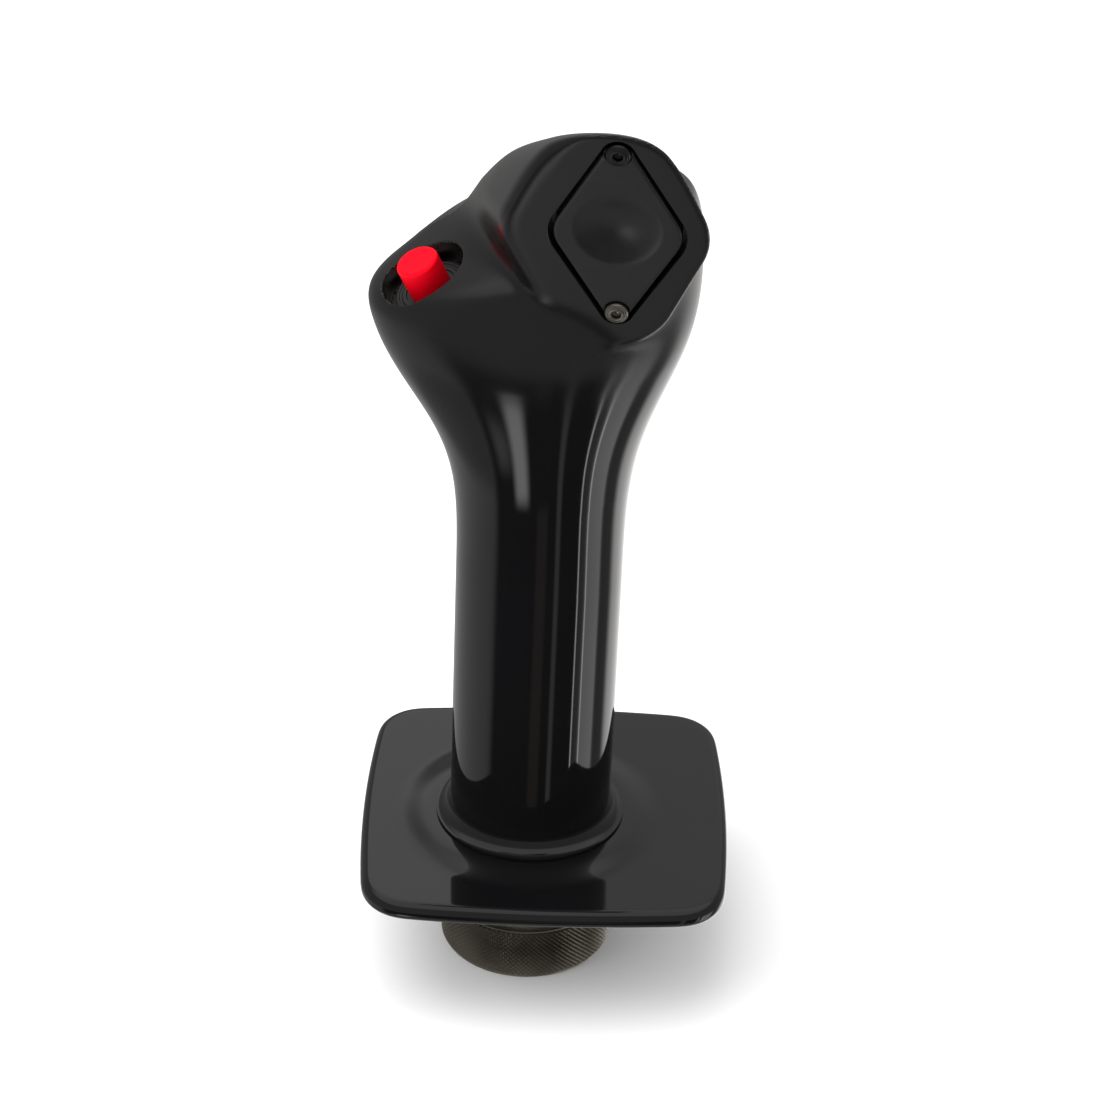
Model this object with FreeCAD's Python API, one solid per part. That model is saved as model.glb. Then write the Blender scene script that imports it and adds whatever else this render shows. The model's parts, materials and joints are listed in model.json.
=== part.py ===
import FreeCAD, Part
import math
import os

# Airliner-style side stick grip. Millimetres.
# Origin: centre of the collar nut's open mouth. +Z runs up the handle, -Y is the trigger side,
# -X is the thumb-button side.

Vec = FreeCAD.Vector

# ---- collar nut and plug ----
NUT_R = 22.0
NUT_H = 15.0
THREAD_R = 16.9
THREAD_L = 8.0
RELIEF_R = 18.2
NUT_LIP_Z = 11.0
NUT_BORE_R = 15.08
NUT_CHAMFER = 0.8

# ---- core stem ----
STEM_R = 15.0
STEM_BORE_R = 11.0
STEM_FLANGE_R = 16.6
STEM_FLANGE_Z = 8.4
STEM_FLANGE_TOP = 10.9
CARRIER_R = 12.5
CARRIER_SEAT_Z = 12.0
SHOULDER_R = 19.0
SHOULDER_Z = 27.0
STEM_THREAD_R = 14.9
STEM_TOP_Z = 56.0
RING_GROOVE_R = 14.2
RING_Z = 16.3
RING_H = 1.2
CLAMP_HOLE_R = 15.1
STEM_NUT_R = 16.2

# ---- hand rest ----
REST_X = 93.6
REST_Y = 92.8
REST_CENTRE = Vec(4.4, 2.7, 0)
REST_Z = 32.5
REST_T = 5.0
REST_CORNER_R = 12.4
REST_BOW = 1.4
REST_EDGE_R = 2.3
BOSS_TOP_R = 24.6
BOSS_FOOT_R = 35.0
BOSS_H = 1.1

# ---- handle ----
LEAN = 0.011                 # sideways drift of the handle axis per mm of height
HANDLE_R = 20.4
HANDLE_TOP_X = 1.5
FOOT_R = 24.0
FOOT_EDGE_H = 0.7
FOOT_FILLET_R = 3.6
FOOT_SOLID_Z = 47.0
WALL = 3.2
CAVITY_R = 16.9

# ---- facet that carries the trigger ----
FACET_CENTRE = Vec(16.3, -32.4, 213.4)
FACET_TURN = math.radians(-5.5)      # turned towards the thumb-button side
FACET_TILT = math.radians(-17.0)     # leaning forward over the handle
FACET_REACH = 60.0
FACET_BACKING = 11.0                 # solid thickness behind the facet
FACET_CUT = [
    (-60, 60), (60, 60), (60, -10), (23, -12), (9, -33),
    (2, -36), (-6, -36), (-13, -30), (-22, -12), (-60, 5),
]

# ---- head form behind the facet: a rounded diamond that sinks and widens with depth ----
DIAMOND_HALF_W = 24.2
DIAMOND_HALF_H = 58.0
DIAMOND_ROUND = 16.0
DIAMOND_U = -2.5
DIAMOND_V = -0.4
GROW_W = 0.05
GROW_H = 0.4
GROW_DEPTH = 26.0
SINK = 0.53
DRIFT = 0.31
FRONT_ALLOWANCE = 3.0
PALM_SLOPE = math.radians(27.0)
CREST_V = 30.0
CREST_ROUND = 17.5
BACK_Y = 14.0
BACK_ROUND = 30.0

# ---- flared bowl that joins the handle to the head and carries the thumb button ----
BOWL_CENTRE = Vec(-2.9, 1.0, 190.0)
BOWL_R = Vec(37.6, 21.3, 36.3)
LOBE_TOP = Vec(-30.0, -5.0, 187.4)
LOBE_NORMAL = Vec(-0.31, -0.12, 1.0).normalize()
LOBE_ROUND = 8.0
NECK_BLEND = 44.0
NECK_TOP_Z = 170.0
HEAD_BLEND = 28.7
HEAD_BLEND_START = 3.0
HEAD_BLEND_GROWTH = 0.73

# ---- level sections that the form is lofted through ----
HEAD_STEP = 3.5
HEAD_START_Z = 114.0
CENTRE_SHIFT_Z = 190.0
CENTRE_TOP_Z = 241.0
CENTRE_SHIFT = Vec(11.5, -40.4, 0)
CENTRE_LOW = Vec(3.0, -3.0, 0)
FORM_TOP_Z = 239.5
CAVITY_TOP_Z = 221.0
RAYS = 48

# ---- trigger plate and pocket, in the facet's own (u, v, depth) ----
PLATE_CENTRE_V = -0.35
PLATE_HALF_W = 14.1
PLATE_HALF_H = 25.0
PLATE_SIDE_R = 5.4
PLATE_TIP_R = 3.0
PLATE_RECESS = 0.3
PLATE_T = 2.0
EAR_T = 1.2
EAR_V = 15.9
POCKET_HALF_W = 15.2
POCKET_HALF_H = 25.9
POCKET_SIDE_R = 6.2
POCKET_TIP_R = 3.7
POCKET_DEPTH = 4.6
EAR_POCKET_DEPTH = 1.8
EAR_POCKET_V = 16.8
SCREW_V = 22.5
SCREW_HEAD_R = 2.85
SCREW_HEAD_H = 1.6
HEAD_SEAT_R = 3.15
HEAD_SEAT_DEPTH = 0.5
HEAD_GAP = 0.12
SHANK_R = 1.55
PLATE_HOLE_R = 2.0
HEX_KEY_AF = 2.0
HEX_KEY_DEPTH = 1.1
TOP_THREAD_END = 5.2
LOW_THREAD_END = 10.4
INSERT_R = 2.1
DISH_R = 9.0
DISH_DEPTH = 1.1
DISH_V = 0.8

# ---- trigger switch ----
SWITCH_W = 6.2
SWITCH_H = 12.8
SWITCH_D = 6.0
CRADLE_T = 1.5
ACTUATOR_R = 1.0
ACTUATOR_HOLE_R = 1.3
ACTUATOR_END = 6.0

# ---- thumb button; s runs along its axis, zero at the pocket's rim ----
BUTTON_RIM = Vec(-27.5, -5.0, 190.8)
BUTTON_AXIS = Vec(-0.37, -0.245, 0.894).normalize()
BUTTON_POCKET_R = 9.4
BUTTON_FLOOR = -6.8
BUTTON_BOSS_R = 12.6
BUTTON_WALL = 3.0
NUT_ROOM_R = 9.2
CAP_R = 4.5
CAP_TOP = 3.3
CAP_BASE = -6.2
CAP_EDGE_R = 0.55
WELL_R = 4.7
WELL_END = -9.4
HOUSING_R = 6.0
HOUSING_FLANGE_R = 7.6
HOUSING_TOP = -5.4
HOUSING_END = -20.8
CHAMBER_R = 3.6
CHAMBER_END = -13.6
BUTTON_STEM_R = 1.5
STEM_GUIDE_R = 1.56
STEM_GUIDE_END = -16.0
BRIDGE_S = -17.2

# ---- springs ----
SPRING_WIRE_R = 0.3

SHAPES = {}


# ------------------------------------------------------------------ small helpers

def disc(radius, z_low, z_high, x=0.0, y=0.0):
    return Part.makeCylinder(radius, z_high - z_low, Vec(x, y, z_low))


def ring(outer, inner, z_low, z_high, x=0.0, y=0.0):
    return disc(outer, z_low, z_high, x, y).cut(disc(inner, z_low - 1, z_high + 1, x, y))


def box(x_low, x_high, y_low, y_high, z_low, z_high):
    size = (x_high - x_low, y_high - y_low, z_high - z_low)
    return Part.makeBox(*size, Vec(x_low, y_low, z_low))


def revolve(points, x=0.0):
    """Turn a closed outline of (radius, z) points about the vertical line at x."""
    corners = [Vec(x + r, 0, z) for r, z in points]
    face = Part.Face(Part.makePolygon(corners + corners[:1]))
    return face.revolve(Vec(x, 0, 0), Vec(0, 0, 1), 360)


def fuse(first, *others):
    return first.fuse(list(others)).removeSplitter()


def hexagon(across_flats, height):
    corner = across_flats / 2 / math.cos(math.pi / 6)
    turns = [math.pi / 3 * i for i in range(7)]
    points = [Vec(corner * math.cos(turn), corner * math.sin(turn), 0) for turn in turns]
    return Part.Face(Part.makePolygon(points)).extrude(Vec(0, 0, height))


def coil(radius, length, turns):
    """Helical compression spring along +Z from the origin."""
    path = Part.makeHelix(length / turns, length, radius)
    start = Vec(radius, 0, 0)
    rise = length / turns / (2 * math.pi * radius)
    section = Part.Wire(Part.makeCircle(SPRING_WIRE_R, start, Vec(0, 1, rise)))
    return Part.Wire(path.Edges).makePipeShell([section], True, True)


def tube(points, radius):
    """Round tube along straight runs that are joined by tangent arcs."""
    edges = []
    start = points[0]
    for before, corner, after in zip(points, points[1:], points[2:]):
        to_corner = (corner - before).normalize()
        onward = (after - corner).normalize()
        half_turn = to_corner.getAngle(onward) / 2
        run = 0.45 * min((corner - before).Length, (after - corner).Length)
        into = corner - to_corner * run
        out = corner + onward * run
        bend = run / math.tan(half_turn)
        inward = (onward - to_corner).normalize()
        middle = corner + inward * (bend / math.cos(half_turn) - bend)
        edges.append(Part.LineSegment(start, into).toShape())
        edges.append(Part.Arc(into, middle, out).toShape())
        start = out
    edges.append(Part.LineSegment(start, points[-1]).toShape())
    profile = Part.Wire(Part.makeCircle(radius, points[0], points[1] - points[0]))
    return Part.Wire(edges).makePipeShell([profile], True, False)


# ------------------------------------------------------------------ facet and button frames

def unit(x, y, z):
    return Vec(x, y, z).normalize()


FACET_N = unit(
    math.sin(FACET_TURN) * math.cos(FACET_TILT),
    -math.cos(FACET_TURN) * math.cos(FACET_TILT),
    math.sin(FACET_TILT),
)
FACET_U = Vec(0, 0, 1).cross(FACET_N).normalize()
FACET_V = FACET_N.cross(FACET_U)


def placed(shape, origin, x_axis, z_axis):
    """Move a shape built about the origin into a frame given by its X and Z directions."""
    y_axis = z_axis.cross(x_axis)
    matrix = FreeCAD.Matrix(
        x_axis.x, y_axis.x, z_axis.x, origin.x,
        x_axis.y, y_axis.y, z_axis.y, origin.y,
        x_axis.z, y_axis.z, z_axis.z, origin.z,
        0, 0, 0, 1,
    )
    moved = shape.copy()
    moved.Placement = FreeCAD.Placement(matrix).multiply(moved.Placement)
    return moved


def on_facet(shape):
    """Facet frame: X to the right, Y up the slope, Z out of the facet."""
    return placed(shape, FACET_CENTRE, FACET_U, FACET_N)


BUTTON_X = Vec(0, 1, 0).cross(BUTTON_AXIS).normalize()


def on_button(shape):
    """Button frame: Z out along the button's axis, zero at the pocket's rim."""
    return placed(shape, BUTTON_RIM, BUTTON_X, BUTTON_AXIS)


# ------------------------------------------------------------------ form of the grip

def blend(a, b, width):
    """Smooth minimum of two distances."""
    h = max(width - abs(a - b), 0.0) / width
    return min(a, b) - h ** 3 * width / 6


def round_limit(a, b, width):
    """Smooth maximum of two distances."""
    return -blend(-a, -b, width)


def diamond_distance(u, v, half_w, half_h, rounding):
    """Signed distance to a diamond with rounded corners."""
    shrink = 1 - rounding * math.hypot(half_w, half_h) / (half_w * half_h)
    w = half_w * shrink
    h = half_h * shrink
    u = abs(u)
    v = abs(v)
    t = ((u - w) * -w + v * h) / (w * w + h * h)
    t = min(max(t, 0.0), 1.0)
    gap = math.hypot(u - w * (1 - t), v - h * t)
    side = 1.0 if u * h + v * w > w * h else -1.0
    return gap * side - rounding


def ellipsoid_distance(offset, radii):
    x, y, z = offset.x / radii.x, offset.y / radii.y, offset.z / radii.z
    near = math.sqrt(x * x + y * y + z * z)
    steep = math.sqrt((x / radii.x) ** 2 + (y / radii.y) ** 2 + (z / radii.z) ** 2) + 1e-9
    return near * (near - 1) / steep


def handle_axis_x(z):
    return HANDLE_TOP_X - LEAN * max(HANDLE_TOP_X / LEAN - z, 0.0)


def form(p):
    """Approximate distance from a point to the outer surface of the grip, negative inside."""
    rel = p - FACET_CENTRE
    depth = -rel.dot(FACET_N)
    u = rel.dot(FACET_U) - DIAMOND_U + DRIFT * depth
    v = rel.dot(FACET_V) - DIAMOND_V + SINK * depth
    grown = GROW_DEPTH * math.tanh(depth / GROW_DEPTH)
    half_w = DIAMOND_HALF_W + GROW_W * grown
    half_h = DIAMOND_HALF_H + GROW_H * grown
    head = diamond_distance(u, v, half_w, half_h, DIAMOND_ROUND)
    crest = FACET_CENTRE + FACET_V * CREST_V
    palm = (p.y - crest.y) * math.sin(PALM_SLOPE) + (p.z - crest.z) * math.cos(PALM_SLOPE)
    head = round_limit(head, palm, CREST_ROUND)
    head = round_limit(head, p.y - BACK_Y, BACK_ROUND)
    head = round_limit(head, -depth - FRONT_ALLOWANCE, 1.2)
    radial = math.hypot(p.x - handle_axis_x(p.z), p.y)
    handle = math.hypot(radial, max(p.z - NECK_TOP_Z, 0.0)) - HANDLE_R
    bowl = ellipsoid_distance(p - BOWL_CENTRE, BOWL_R)
    bowl = round_limit(bowl, (p - LOBE_TOP).dot(LOBE_NORMAL), LOBE_ROUND)
    lower = blend(bowl, handle, NECK_BLEND)
    width = HEAD_BLEND_START + HEAD_BLEND_GROWTH * min(max(depth, 0.0), GROW_DEPTH * 2)
    return blend(lower, head, min(width, HEAD_BLEND))


def section_centre(z):
    """A point well inside the form at height z, from which its whole outline is seen."""
    rise = min(max((z - CENTRE_SHIFT_Z) / (CENTRE_TOP_Z - CENTRE_SHIFT_Z), 0.0), 1.0)
    start = min(max((z - HEAD_START_Z) / (CENTRE_SHIFT_Z - HEAD_START_Z), 0.0), 1.0)
    axis = Vec(handle_axis_x(z), 0, 0)
    return axis + (CENTRE_LOW - axis) * start + CENTRE_SHIFT * rise ** 1.5 + Vec(0, 0, z)


def section(z, level):
    """Closed spline where the form's level surface meets the horizontal plane at z."""
    centre = section_centre(z)
    points = []
    for i in range(RAYS):
        turn = 2 * math.pi * i / RAYS
        way = Vec(math.cos(turn), math.sin(turn), 0)
        near, far = 0.0, 70.0
        while far - near > 1e-4:
            middle = (near + far) / 2
            if form(centre + way * middle) < level:
                near = middle
            else:
                far = middle
        points.append(centre + way * near)
    curve = Part.BSplineCurve()
    knots = [i / RAYS for i in range(RAYS + 1)]
    curve.interpolate(Points=points, PeriodicFlag=True, Parameters=knots)
    return Part.Wire(curve.toShape())


def form_solid(level, z_low, z_high):
    """Straight handle from z_low, then a loft through level sections of the head."""
    count = math.ceil((z_high - HEAD_START_Z) / HEAD_STEP)
    rise = (z_high - HEAD_START_Z) / count
    sections = [section(HEAD_START_Z + rise * i, level) for i in range(count + 1)]
    handle = Part.makeLoft([section(z_low, level), sections[0]], True, True)
    return handle.fuse(Part.makeLoft(sections, True, False))


def diamond_wire(half_w, half_h, side_r, tip_r, z=0.0):
    """Rounded diamond: the outline round four circles, centred on the plate's centre."""
    centres = [(half_w - side_r, 0, side_r), (0, half_h - tip_r, tip_r)]
    centres += [(side_r - half_w, 0, side_r), (0, tip_r - half_h, tip_r)]
    contacts = []
    for i in range(4):
        ax, ay, ar = centres[i]
        bx, by, br = centres[(i + 1) % 4]
        along = math.atan2(by - ay, bx - ax)
        normal = along - math.acos((ar - br) / math.hypot(bx - ax, by - ay))
        nx, ny = math.cos(normal), math.sin(normal)
        contacts.append((Vec(ax + ar * nx, ay + ar * ny, z), Vec(bx + br * nx, by + br * ny, z)))
    edges = []
    for i in range(4):
        cx, cy, cr = centres[i]
        arrive = contacts[i - 1][1]
        leave, onward = contacts[i]
        outward = Vec(cx, cy, 0).normalize()
        edges.append(Part.Arc(arrive, Vec(cx, cy, z) + outward * cr, leave).toShape())
        edges.append(Part.LineSegment(leave, onward).toShape())
    wire = Part.Wire(edges)
    wire.translate(Vec(0, PLATE_CENTRE_V, 0))
    return wire


def diamond_block(half_w, half_h, side_r, tip_r, z_low, z_high):
    face = Part.Face(diamond_wire(half_w, half_h, side_r, tip_r, z_low))
    return face.extrude(Vec(0, 0, z_high - z_low))


def cradle_block(margin, z_low, z_high):
    half_w = SWITCH_W / 2 + margin
    half_h = SWITCH_H / 2 + margin
    return box(-half_w, half_w, PLATE_CENTRE_V - half_h, PLATE_CENTRE_V + half_h, z_low, z_high)


def screw_positions():
    return [PLATE_CENTRE_V + SCREW_V, PLATE_CENTRE_V - SCREW_V]


# ------------------------------------------------------------------ grip shell and hand rest

def make_shell():
    outer = form_solid(0.0, REST_Z + REST_T + BOSS_H, FORM_TOP_Z)
    foot_x = handle_axis_x(40.0)
    edge_z = REST_Z + REST_T + BOSS_H
    arc = []
    for i in range(9):
        turn = math.pi / 2 * i / 8
        r = FOOT_R - FOOT_FILLET_R * math.sin(turn)
        arc.append((r, edge_z + FOOT_EDGE_H + FOOT_FILLET_R * (1 - math.cos(turn))))
    outline = [(CAVITY_R, edge_z), (FOOT_R, edge_z)] + arc
    outline += [(HANDLE_R - 0.8, arc[-1][1] + 0.6), (CAVITY_R, arc[-1][1] + 0.6)]
    outer = outer.fuse(revolve(outline, foot_x))
    # flat facet
    edge = [Vec(u, v, 0) for u, v in FACET_CUT]
    front = Part.Face(Part.makePolygon(edge + edge[:1])).extrude(Vec(0, 0, FACET_REACH))
    outer = outer.cut(on_facet(front))
    # hollow
    cavity = form_solid(-WALL, FOOT_SOLID_Z, CAVITY_TOP_Z)
    backing = box(-FACET_REACH, FACET_REACH, -40.0, FACET_REACH, -FACET_BACKING, FACET_REACH)
    cavity = cavity.cut(on_facet(backing))
    boss = disc(BUTTON_BOSS_R, BUTTON_FLOOR - BUTTON_WALL, 20.0)
    cavity = cavity.cut(on_button(boss))
    shell = outer.cut(cavity)
    shell = shell.cut(disc(CLAMP_HOLE_R, 0, FOOT_SOLID_Z + 1))
    # trigger pocket, switch opening and screw holes
    pocket = diamond_block(POCKET_HALF_W, POCKET_HALF_H, POCKET_SIDE_R, POCKET_TIP_R, -POCKET_DEPTH, 5.0)
    ear_floor = box(-20, 20, PLATE_CENTRE_V + EAR_POCKET_V, 60, -POCKET_DEPTH - 1, -EAR_POCKET_DEPTH)
    pocket = pocket.cut(ear_floor)
    tools = [pocket, cradle_block(CRADLE_T, -FACET_BACKING - 5, -POCKET_DEPTH + 1)]
    top_v, low_v = screw_positions()
    tools.append(disc(SHANK_R, -TOP_THREAD_END, 0, 0, top_v))
    tools.append(disc(INSERT_R, -LOW_THREAD_END, 0, 0, low_v))
    for tool in tools:
        shell = shell.cut(on_facet(tool))
    # thumb-button pocket and its bushing hole
    shell = shell.cut(on_button(disc(BUTTON_POCKET_R, BUTTON_FLOOR, 25.0)))
    inner = BUTTON_FLOOR - BUTTON_WALL
    shell = shell.cut(on_button(disc(HOUSING_R, inner - 1, 0)))
    shell = shell.cut(on_button(disc(NUT_ROOM_R, HOUSING_END - 6, inner)))
    # dowel holes in the foot
    for x in (-1, 1):
        shell = shell.cut(disc(1.5, 30, 43, x * 17.6))
    return shell


def rest_outline(z):
    """Square with rounded corners and slightly bowed sides."""
    half_x = REST_X / 2
    half_y = REST_Y / 2
    turns = [(1, -1), (1, 1), (-1, 1), (-1, -1)]
    edges = []
    inset = REST_CORNER_R
    diagonal = inset * (1 - math.sqrt(0.5))
    hx = half_x - REST_BOW
    hy = half_y - REST_BOW
    for i, (sx, sy) in enumerate(turns):
        first = Vec(sx * (hx - inset), sy * hy, z) if sx * sy < 0 else Vec(sx * hx, sy * (hy - inset), z)
        last = Vec(sx * hx, sy * (hy - inset), z) if sx * sy < 0 else Vec(sx * (hx - inset), sy * hy, z)
        edges.append(Part.Arc(first, Vec(sx * (hx - diagonal), sy * (hy - diagonal), z), last).toShape())
        nx, ny = turns[(i + 1) % 4]
        following = Vec(nx * (hx - inset), ny * hy, z) if nx * ny < 0 else Vec(nx * hx, ny * (hy - inset), z)
        middle = Vec(half_x * (sx + nx) / 2, half_y * (sy + ny) / 2, z)
        edges.append(Part.Arc(last, middle, following).toShape())
    wire = Part.Wire(edges)
    wire.translate(Vec(REST_CENTRE.x, REST_CENTRE.y, 0))
    return wire


def make_hand_rest():
    plate = Part.Face(rest_outline(REST_Z)).extrude(Vec(0, 0, REST_T))
    rims = [e for e in plate.Edges if abs(e.BoundBox.ZLength) < 1e-3]
    plate = plate.makeFillet(REST_EDGE_R, rims)
    x = handle_axis_x(40.0)
    top = REST_Z + REST_T
    outline = [(0, top - 1), (BOSS_FOOT_R, top - 1), (BOSS_FOOT_R, top)]
    steps = 10
    for i in range(1, steps + 1):
        share = i / steps
        lift = BOSS_H * (1 - math.cos(math.pi * share)) / 2
        outline.append((BOSS_FOOT_R + (BOSS_TOP_R - BOSS_FOOT_R) * share, top + lift))
    outline.append((0, top + BOSS_H))
    plate = plate.fuse(revolve(outline, x))
    plate = plate.cut(disc(CLAMP_HOLE_R, 0, 60))
    for sx in (-1, 1):
        plate = plate.cut(disc(1.5, REST_Z + 1.5, 60, sx * 17.6))
    return plate


def make_clamp_parts():
    SHAPES["hand_rest"] = make_hand_rest()
    pins = [disc(1.5, REST_Z + 1.5, 43, sx * 17.6) for sx in (-1, 1)]
    SHAPES["dowel_pins"] = Part.makeCompound(pins)
    top = FOOT_SOLID_Z
    SHAPES["lock_washer"] = ring(STEM_NUT_R, STEM_THREAD_R, top, top + 1.2)
    nut = ring(STEM_NUT_R, STEM_THREAD_R, top + 1.2, top + 7.2)
    for i in range(4):
        slot = box(15.5, 18, -1.5, 1.5, top + 3, top + 8)
        slot.rotate(Vec(0, 0, 0), Vec(0, 0, 1), 90 * i + 45)
        nut = nut.cut(slot)
    SHAPES["stem_nut"] = nut


# ------------------------------------------------------------------ stem, collar and plug

def make_stem():
    stem = fuse(
        disc(STEM_FLANGE_R, STEM_FLANGE_Z, STEM_FLANGE_TOP),
        disc(STEM_R, STEM_FLANGE_TOP, SHOULDER_Z),
        disc(SHOULDER_R, SHOULDER_Z, REST_Z),
        disc(STEM_THREAD_R, REST_Z, STEM_TOP_Z),
    )
    stem = stem.cut(disc(CARRIER_R, 0, CARRIER_SEAT_Z))
    stem = stem.cut(disc(STEM_BORE_R, 0, 80))
    stem = stem.cut(ring(STEM_R + 1, RING_GROOVE_R, RING_Z, RING_Z + RING_H))
    stem = stem.cut(disc(1.0, STEM_FLANGE_Z - 1, STEM_FLANGE_TOP - 0.4, 0, -14.6))
    return stem


def make_collar_nut():
    nut = disc(NUT_R, 0, NUT_H)
    rims = [e for e in nut.Edges if e.BoundBox.ZLength < 1e-3]
    nut = nut.makeChamfer(NUT_CHAMFER, rims)
    nut = nut.cut(disc(THREAD_R, -1, THREAD_L))
    nut = nut.cut(disc(RELIEF_R, THREAD_L, NUT_LIP_Z))
    return nut.cut(disc(NUT_BORE_R, NUT_LIP_Z - 1, NUT_H + 1))


def make_collar_parts():
    SHAPES["core_stem"] = make_stem()
    SHAPES["collar_nut"] = make_collar_nut()
    SHAPES["thrust_washer"] = ring(18.5, NUT_BORE_R, NUT_H + 0.1, RING_Z)
    snap = ring(17.2, RING_GROOVE_R, RING_Z, RING_Z + RING_H)
    SHAPES["retaining_ring"] = snap.cut(box(8, 20, -3, 3, RING_Z - 1, RING_Z + 3))
    SHAPES["index_pin"] = disc(1.0, STEM_FLANGE_Z - 0.3, STEM_FLANGE_TOP - 0.4, 0, -14.6)


def make_plug():
    seat = CARRIER_SEAT_Z
    low = STEM_FLANGE_Z + 0.2
    carrier = disc(CARRIER_R, seat - 1.8, seat)
    carrier = carrier.fuse(disc(6.5, seat, seat + 4)).removeSplitter()
    carrier = carrier.cut(disc(4.5, 0, seat + 2.5)).cut(disc(2.9, 0, seat + 6))
    screws = []
    for sx in (-1, 1):
        hole = disc(1.0, 0, seat + 5, sx * 9.2)
        carrier = carrier.cut(hole)
        head = disc(1.7, seat - 2.9, seat - 1.8, sx * 9.2)
        screws.append(fuse(head, disc(1.0, seat - 1.8, seat, sx * 9.2)))
    SHAPES["plug_carrier"] = carrier
    SHAPES["carrier_screws"] = Part.makeCompound(screws)
    SHAPES["plug_shell"] = ring(4.5, 4.1, low, seat + 2.5)
    insert = disc(4.1, low + 2.4, seat + 2.5)
    pins = []
    for i in range(5):
        turn = math.radians(-90 + 60 * (i - 2))
        x, y = 2.3 * math.cos(turn), 2.3 * math.sin(turn)
        pins.append(disc(0.4, low + 0.4, seat + 3.6, x, y))
        insert = insert.cut(disc(0.4, 0, 30, x, y))
    SHAPES["plug_insert"] = insert
    SHAPES["plug_pins"] = Part.makeCompound(pins)


# ------------------------------------------------------------------ electronics in the handle

def make_board():
    z = STEM_TOP_Z
    frame = ring(14.6, 11.0, z, z + 3)
    for sx in (-1, 1):
        left, right = sorted((sx * 8.2, sx * 12.4))
        rail = box(left, right, 0.5, 4.5, z + 3, 138)
        foot = box(left, right, 0.5, 7.5, z, z + 6)
        foot = foot.common(disc(14.6, z, z + 6))
        frame = fuse(frame, rail, foot)
    tie = box(-9, 9, 0.5, 4.5, 134, 138)
    frame = fuse(frame, tie)
    screws = []
    for sx in (-1, 1):
        frame = frame.cut(disc(0.9, z - 1, z + 4, 0, sx * 12.8))
        shank = disc(0.9, z, z + 3, 0, sx * 12.8)
        screws.append(fuse(shank, disc(1.6, z + 3, z + 4.1, 0, sx * 12.8)))
    board = box(-12.2, 12.2, 4.5, 6.1, 70, 132)
    board_screws = []
    for sx in (-1, 1):
        for height in (74.0, 128.0):
            start = Vec(sx * 10.3, 2.0, height)
            hole = Part.makeCylinder(0.9, 10, start, Vec(0, 1, 0))
            frame = frame.cut(hole)
            board = board.cut(hole)
            shank = Part.makeCylinder(0.9, 4.1, start, Vec(0, 1, 0))
            cap = Part.makeCylinder(1.6, 1.1, start + Vec(0, 4.1, 0), Vec(0, 1, 0))
            board_screws.append(fuse(shank, cap))
    SHAPES["board_frame"] = frame
    SHAPES["frame_screws"] = Part.makeCompound(screws)
    SHAPES["circuit_board"] = board
    SHAPES["board_screws"] = Part.makeCompound(board_screws)
    chips = [box(-4, 4, 6.1, 7.6, 104, 112), box(-6, -2, 6.1, 7.9, 92, 98), box(2, 7, 6.1, 7.3, 90, 95)]
    SHAPES["board_parts"] = Part.makeCompound(chips)
    SHAPES["loom_socket"] = box(-4.5, 4.5, 6.1, 9.6, 76, 82)
    SHAPES["loom_plug"] = box(-3.9, 3.9, 6.6, 9.2, 72, 76)


def make_looms():
    plug_end = Vec(0, 0, CARRIER_SEAT_Z + 2.6)
    route = [plug_end, Vec(0, 0.4, 30), Vec(0, 3.0, 46), Vec(0, 7.9, 58), Vec(0, 7.9, 72)]
    SHAPES["main_loom"] = tube(route, 1.6)
    switch_end = FACET_CENTRE - FACET_N * 15.4 + FACET_V * PLATE_CENTRE_V
    route = [switch_end, switch_end - FACET_N * 5, Vec(13, -8, 192), Vec(8, 2, 172)]
    route += [Vec(5.5, 7.0, 152), Vec(5.0, 8.0, 134)]
    SHAPES["trigger_lead"] = tube(route, 1.0)
    button_end = BUTTON_RIM + BUTTON_AXIS * (HOUSING_END - 4.6)
    route = [button_end, button_end - BUTTON_AXIS * 6, Vec(-11, 5.0, 153)]
    route += [Vec(-6.4, 7.6, 142), Vec(-5.0, 8.0, 132)]
    SHAPES["button_lead"] = tube(route, 1.0)


# ------------------------------------------------------------------ trigger

def make_trigger_plate():
    back = -PLATE_RECESS - PLATE_T
    plate = diamond_block(PLATE_HALF_W, PLATE_HALF_H, PLATE_SIDE_R, PLATE_TIP_R, back, -PLATE_RECESS)
    level = [e for e in plate.Edges if e.BoundBox.ZLength < 1e-3]
    rim = [e for e in level if abs(e.BoundBox.ZMax + PLATE_RECESS) < 1e-3]
    plate = plate.makeFillet(0.5, rim)
    ear_gap = box(-20, 20, PLATE_CENTRE_V + EAR_V, 60, back - 1, -PLATE_RECESS - EAR_T)
    plate = plate.cut(ear_gap)
    ball_r = (DISH_R ** 2 + DISH_DEPTH ** 2) / (2 * DISH_DEPTH)
    ball = Part.makeSphere(ball_r, Vec(0, DISH_V, ball_r - PLATE_RECESS - DISH_DEPTH))
    plate = plate.cut(ball)
    for v in screw_positions():
        plate = plate.cut(disc(PLATE_HOLE_R, -10, 2, 0, v))
        plate = plate.cut(disc(HEAD_SEAT_R, -PLATE_RECESS - HEAD_SEAT_DEPTH, 2, 0, v))
    return plate


def socket_screw(v, thread_end):
    under = -PLATE_RECESS - HEAD_SEAT_DEPTH + HEAD_GAP
    head = disc(SCREW_HEAD_R, under, under + SCREW_HEAD_H, 0, v)
    rim = [e for e in head.Edges if e.BoundBox.ZMin > under + SCREW_HEAD_H - 1e-3]
    head = head.makeFillet(0.6, rim)
    screw = fuse(head, disc(SHANK_R, -thread_end, under, 0, v))
    key = hexagon(HEX_KEY_AF, 3)
    key.translate(Vec(0, v, under + SCREW_HEAD_H - HEX_KEY_DEPTH))
    return screw.cut(key)


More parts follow.
